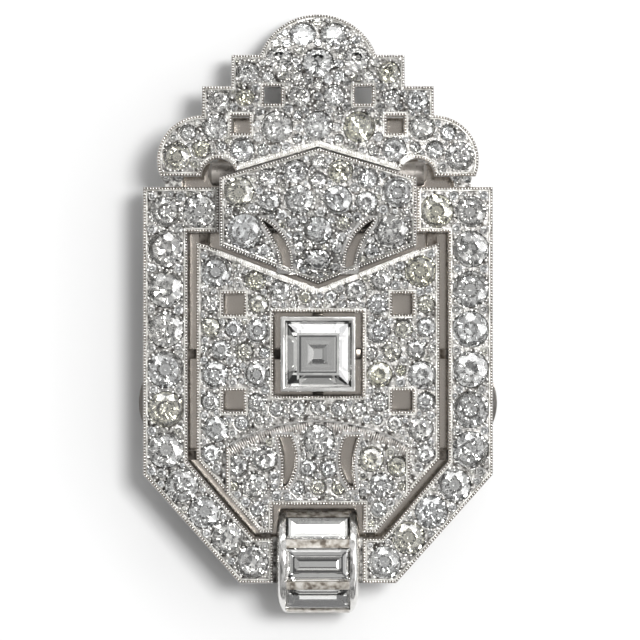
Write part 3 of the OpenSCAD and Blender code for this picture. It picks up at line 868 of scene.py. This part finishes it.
stoneTree = treeOf([centre for centre, axis, radius in allSpots])
print("seed stones:", len(seeds), "with", len(seed.polygons), "facets each")


# grains: the small heads of metal raised round the stones

grainWork = {"pitch": 0.40, "margin": 0.2, "fieldReach": 2, "fromRim": 0.34, "apart": 0.27, "smallest": 0.08,
             "largest": 0.19, "flattest": 0.6, "dullShare": 0.35}
grainRings = {"gap": 0.1, "pitch": 0.42, "jitter": 0.3, "reach": 0.3}
taken = []
cells = {}


def tryGrain(x, y, reach):
    # takes a place on a plate that is off the stones but within reach of one, and clear of rims and grains
    top = topAt(x, y)
    if top is None:
        return
    spot, normal = top
    cell = (round(spot.x / mm), round(spot.y / mm))
    if rimTree.find(spot)[2] < grainWork["fromRim"] * mm or not isPlate(spot):
        return
    if not 0 < fromStone(spot) < reach * mm:
        return
    near = [p for i in (-1, 0, 1) for j in (-1, 0, 1) for p in cells.get((cell[0] + i, cell[1] + j), [])]
    if any((p - spot).length < grainWork["apart"] * mm for p in near):
        return
    cells.setdefault(cell, []).append(spot)
    taken.append((spot, normal))


for centre, axis, radius in allSpots:
    ringRadius = radius + grainRings["gap"] * mm
    count = round(math.tau * ringRadius / (grainRings["pitch"] * mm))
    start = dice.uniform(0, math.tau)
    for k in range(count):
        angle = start + math.tau * (k + dice.uniform(-grainRings["jitter"], grainRings["jitter"])) / count
        tryGrain(centre.x + ringRadius * math.cos(angle), centre.y + ringRadius * math.sin(angle),
                 grainRings["reach"])
for x, y in scattered(grainWork["pitch"], grainWork["margin"]):
    tryGrain(x, y, grainWork["fieldReach"])
copies = []
for spot, normal in taken:
    size = dice.uniform(grainWork["smallest"], grainWork["largest"]) * mm
    shape = dullDome if dice.random() < grainWork["dullShare"] else dome
    turn = turnTo(normal, dice.uniform(0, 3))
    flattest = grainWork["flattest"]
    sizes = (size, size * dice.uniform(flattest, 1), size * dice.uniform(flattest, 1))
    copies.append(placed(shape, spot, turn, sizes))
placeMesh("grains", joinCopies("grains", copies), [beaded, dulled], smooth=True)
print("grains:", len(copies))


# the corded edge inside the fan's arc, and the scallops at its foot

cording = {"starts": (13.75, 13.95, 14.15, 14.35), "end": 14.66, "clearTo": 14.6, "pitchDegrees": 0.76,
           "spreadDegrees": 31, "width": 0.075, "height": 0.08, "top": 5.1, "within": 0.02, "offStones": 0.03}
scallops = {"xs": (-3.2, -1.92, -0.64, 0.64, 1.92, 3.2), "y": -15.42, "sizes": (0.62, 0.17, 0.09)}


def isClear(x, y):
    # on the fan's top and off its stones
    top = topAt(x * mm, y * mm)
    if top is None or abs(top[0].z - cording["top"] * mm) > cording["within"] * mm:
        return False
    return fromStone(top[0]) > cording["offStones"] * mm


def fanSpot(angle, far):
    # x and y in mm of a place so far from the middle of the fan's arc
    return fanArc["x"] + far * math.cos(angle), fanArc["y"] + far * math.sin(angle)


copies = []
steps = round(cording["spreadDegrees"] / cording["pitchDegrees"])
for k in range(-steps, steps + 1):
    angle = math.radians(90 + k * cording["pitchDegrees"])
    for start in cording["starts"]:
        middle, half = (start + cording["end"]) / 2, (cording["end"] - start) / 2
        if all(isClear(*fanSpot(angle, far)) for far in (start, middle, cording["clearTo"])):
            spot = Vector((*fanSpot(angle, middle), cording["top"])) * mm
            sizes = (half * mm, cording["width"] * mm, cording["height"] * mm)
            copies.append(placed(dome, spot, Matrix.Rotation(angle, 4, "Z"), sizes))
            break
placeMesh("fanCording", joinCopies("fanCording", copies), [corded], smooth=True)
print("cords:", len(copies))
copies = []
for x in scallops["xs"]:
    if isClear(x, scallops["y"]):
        spot = Vector((x, scallops["y"], cording["top"])) * mm
        copies.append(placed(dome, spot, Matrix(), [part * mm for part in scallops["sizes"]]))
placeMesh("fanScallops", joinCopies("fanScallops", copies), [polished], smooth=True)


# smoothed pieces: the bezel, the barrel setting and the flap with their edges taken off

easing = {"sharpDegrees": 30, "flatDegrees": 0.3}
cheeks = {"from": 2.75, "widest": 3.6, "keep": 0.6, "edgeRound": 0.28, "edgeSegments": 4,
          "footFrom": -23.2, "footEnd": -25, "footNarrow": 0.42}


def sharpEdges(bm):
    return [e for e in bm.edges
            if len(e.link_faces) == 2 and e.calc_face_angle() > math.radians(easing["sharpDegrees"])]


def easeEdges(bm, edges, width, segments):
    bmesh.ops.bevel(bm, geom=edges, offset=width * mm, offset_type="OFFSET", affect="EDGES",
                    segments=segments, profile=0.5, clamp_overlap=True, material=-1)


def isOnCheekRim(point):
    fromBarrelLine = math.hypot(point.y / mm - barrel["y"], point.z / mm - barrel["z"])
    return fromBarrelLine > barrel["radius"] and abs(point.x) > cheeks["from"] * mm


def fullerCheeks(bm):
    # the barrel's cheeks end nearly as wide as in the middle, over a round edge, and draw in at the foot
    for v in bm.verts:
        if abs(v.co.x) > cheeks["from"] * mm:
            half = cheeks["widest"] - (cheeks["widest"] - abs(v.co.x) / mm) * cheeks["keep"]
            share = max(0, (cheeks["footFrom"] - v.co.y / mm) / (cheeks["footFrom"] - cheeks["footEnd"]))
            v.co.x = math.copysign(half - cheeks["footNarrow"] * share ** 2, v.co.x) * mm
    bm.normal_update()
    rim = [e for e in sharpEdges(bm) if all(isOnCheekRim(v.co) for v in e.verts)]
    easeEdges(bm, rim, cheeks["edgeRound"], cheeks["edgeSegments"])


def easedCopy(node, width, segments, finish, body, reshape=None):
    bm = mergedCopy(node)
    flat = math.radians(easing["flatDegrees"])
    bmesh.ops.dissolve_limit(bm, angle_limit=flat, verts=bm.verts, edges=bm.edges)
    if reshape:
        reshape(bm)
    easeEdges(bm, sharpEdges(bm), width, segments)
    name = pieceName(node) + "Eased"
    piece = placeMesh(name, asMesh(name, bm), [finish], smooth=True, body=body)
    piece.modifiers.new("flatsStayFlat", "WEIGHTED_NORMAL").keep_sharp = True
    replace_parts(piece, node)


cradleFinish, flapFinish = acrossFinish("cradlePolished", cradleLook), acrossFinish("flapSatin", flapLook)
easedCopy("centre_collet", 0.09, 3, bezelFinish(), "front")
easedCopy("baguette_cradle", 0.05, 2, cradleFinish, "front", reshape=fullerCheeks)
easedCopy("clip_flap", 0.1, 2, flapFinish, "flap")
print("eased pieces done")


# floor

paper = {"size": 3.0, "down": 0.01, "colour": (0.66, 0.66, 0.66, 1), "roughness": 0.9}
bm = bmesh.new()
bmesh.ops.create_grid(bm, x_segments=1, y_segments=1, size=paper["size"] / 2)
bmesh.ops.translate(bm, vec=(0, 0, -paper["down"] * mm), verts=bm.verts)
floorMesh = asMesh("floor", bm)
floor = bpy.data.objects.new("floor", floorMesh)
scene.collection.objects.link(floor)
floorMat, tree, shader = newMaterial("floorPaper")
shader.inputs["Base Color"].default_value = paper["colour"]
shader.inputs["Roughness"].default_value = paper["roughness"]
floorMesh.materials.append(floorMat)


# surroundings: grey patches, brighter to the top right, two low bright strips there, an even zone overhead

# each row of around: a direction, how near to it a change starts and ends, and the values there
patchWork = {"scale": 5, "sky": (0.42, 0.57, 0.1, 0.95), "strips": (0.40, 0.48, 0.4, 1)}
around = {
    "slope": ((0.62, 0.62, 0), -1, 1, 0.4, 1.5),
    "beltLow": ((0, 0, 1), 0.41, 0.44, 0, 1),
    "beltHigh": ((0, 0, 1), 0.58, 0.55, 0, 1),
    "topStrip": ((0, 1, 0), 0.64, 0.68, 0, 3.2),
    "rightStrip": ((1, 0, 0), 0.68, 0.72, 0, 3.2),
    "overhead": ((0, 0, 1), 0.972, 0.99, 0, 1),
}
overheadLight = 0.45
world = bpy.data.worlds.new("studio")
scene.world = world
world.use_nodes = True
tree = world.node_tree
direction = tree.nodes.new("ShaderNodeTexCoord").outputs["Generated"]


def towards(row):
    vector, *limits = around[row]
    node = tree.nodes.new("ShaderNodeVectorMath")
    node.operation = "DOT_PRODUCT"
    node.inputs[1].default_value = vector
    tree.links.new(direction, node.inputs[0])
    return spread(tree, node.outputs["Value"], *limits)


def combined(kind, first, second):
    node = tree.nodes.new("ShaderNodeMath")
    node.operation = kind
    tree.links.new(first, node.inputs[0])
    tree.links.new(second, node.inputs[1])
    return node.outputs["Value"]


noise = tree.nodes.new("ShaderNodeTexNoise")
noise.inputs["Scale"].default_value = patchWork["scale"]
tree.links.new(direction, noise.inputs["Vector"])
patches = combined("MULTIPLY", spread(tree, noise.outputs["Fac"], *patchWork["sky"]), towards("slope"))
belt = combined("MULTIPLY", towards("beltLow"), towards("beltHigh"))
strips = combined("MULTIPLY", combined("ADD", towards("topStrip"), towards("rightStrip")),
                  spread(tree, noise.outputs["Fac"], *patchWork["strips"]))
even = tree.nodes.new("ShaderNodeMix")
even.inputs["B"].default_value = overheadLight
tree.links.new(towards("overhead"), even.inputs["Factor"])
tree.links.new(combined("ADD", patches, combined("MULTIPLY", belt, strips)), even.inputs["A"])
background = tree.nodes["Background"]
background.inputs["Color"].default_value = (1, 1, 1, 1)
tree.links.new(even.outputs["Result"], background.inputs["Strength"])


# lamps: azimuth (0 is +X) and height in degrees, distance and sides in metres, power in watts

lamps = {
    "key": {"azimuth": 28, "height": 67, "distance": 0.6, "sides": (0.2, 0.2), "power": 2.7},
    "spark": {"azimuth": 28, "height": 67, "distance": 0.58, "sides": (0.15, 0.15), "power": 0.8},
    "front": {"azimuth": 300, "height": 35, "distance": 0.6, "sides": (0.3, 0.12), "power": 0.12},
}
for name, values in lamps.items():
    data = bpy.data.lights.new(name, "AREA")
    data.shape = "RECTANGLE"
    data.size, data.size_y = values["sides"]
    data.energy = values["power"]
    lamp = bpy.data.objects.new(name, data)
    lamp.location = facet(90 - values["height"], values["azimuth"]) * values["distance"]
    lamp.rotation_euler = lamp.location.to_track_quat("Z", "Y").to_euler()
    # the stones take their sparkle from the smaller lamp inside the key
    lamp.visible_transmission = name != "key"
    scene.collection.objects.link(lamp)


# camera: straight above, with the photo's width in mm at the height of the frame's face

view = {"centre": (0.17, -0.58, 4.7), "width": 53.06, "lens": 200, "sensor": 36, "nearest": 10}
cameraData = bpy.data.cameras.new("camera")
cameraData.lens = view["lens"]
cameraData.sensor_width = view["sensor"]
cameraData.clip_start = view["nearest"] * mm
camera = bpy.data.objects.new("camera", cameraData)
distance = view["width"] * view["lens"] / view["sensor"]
camera.location = (Vector(view["centre"]) + Vector((0, 0, distance))) * mm
scene.collection.objects.link(camera)
scene.camera = camera
scene.view_settings.view_transform = "Standard"
print("studio ready")
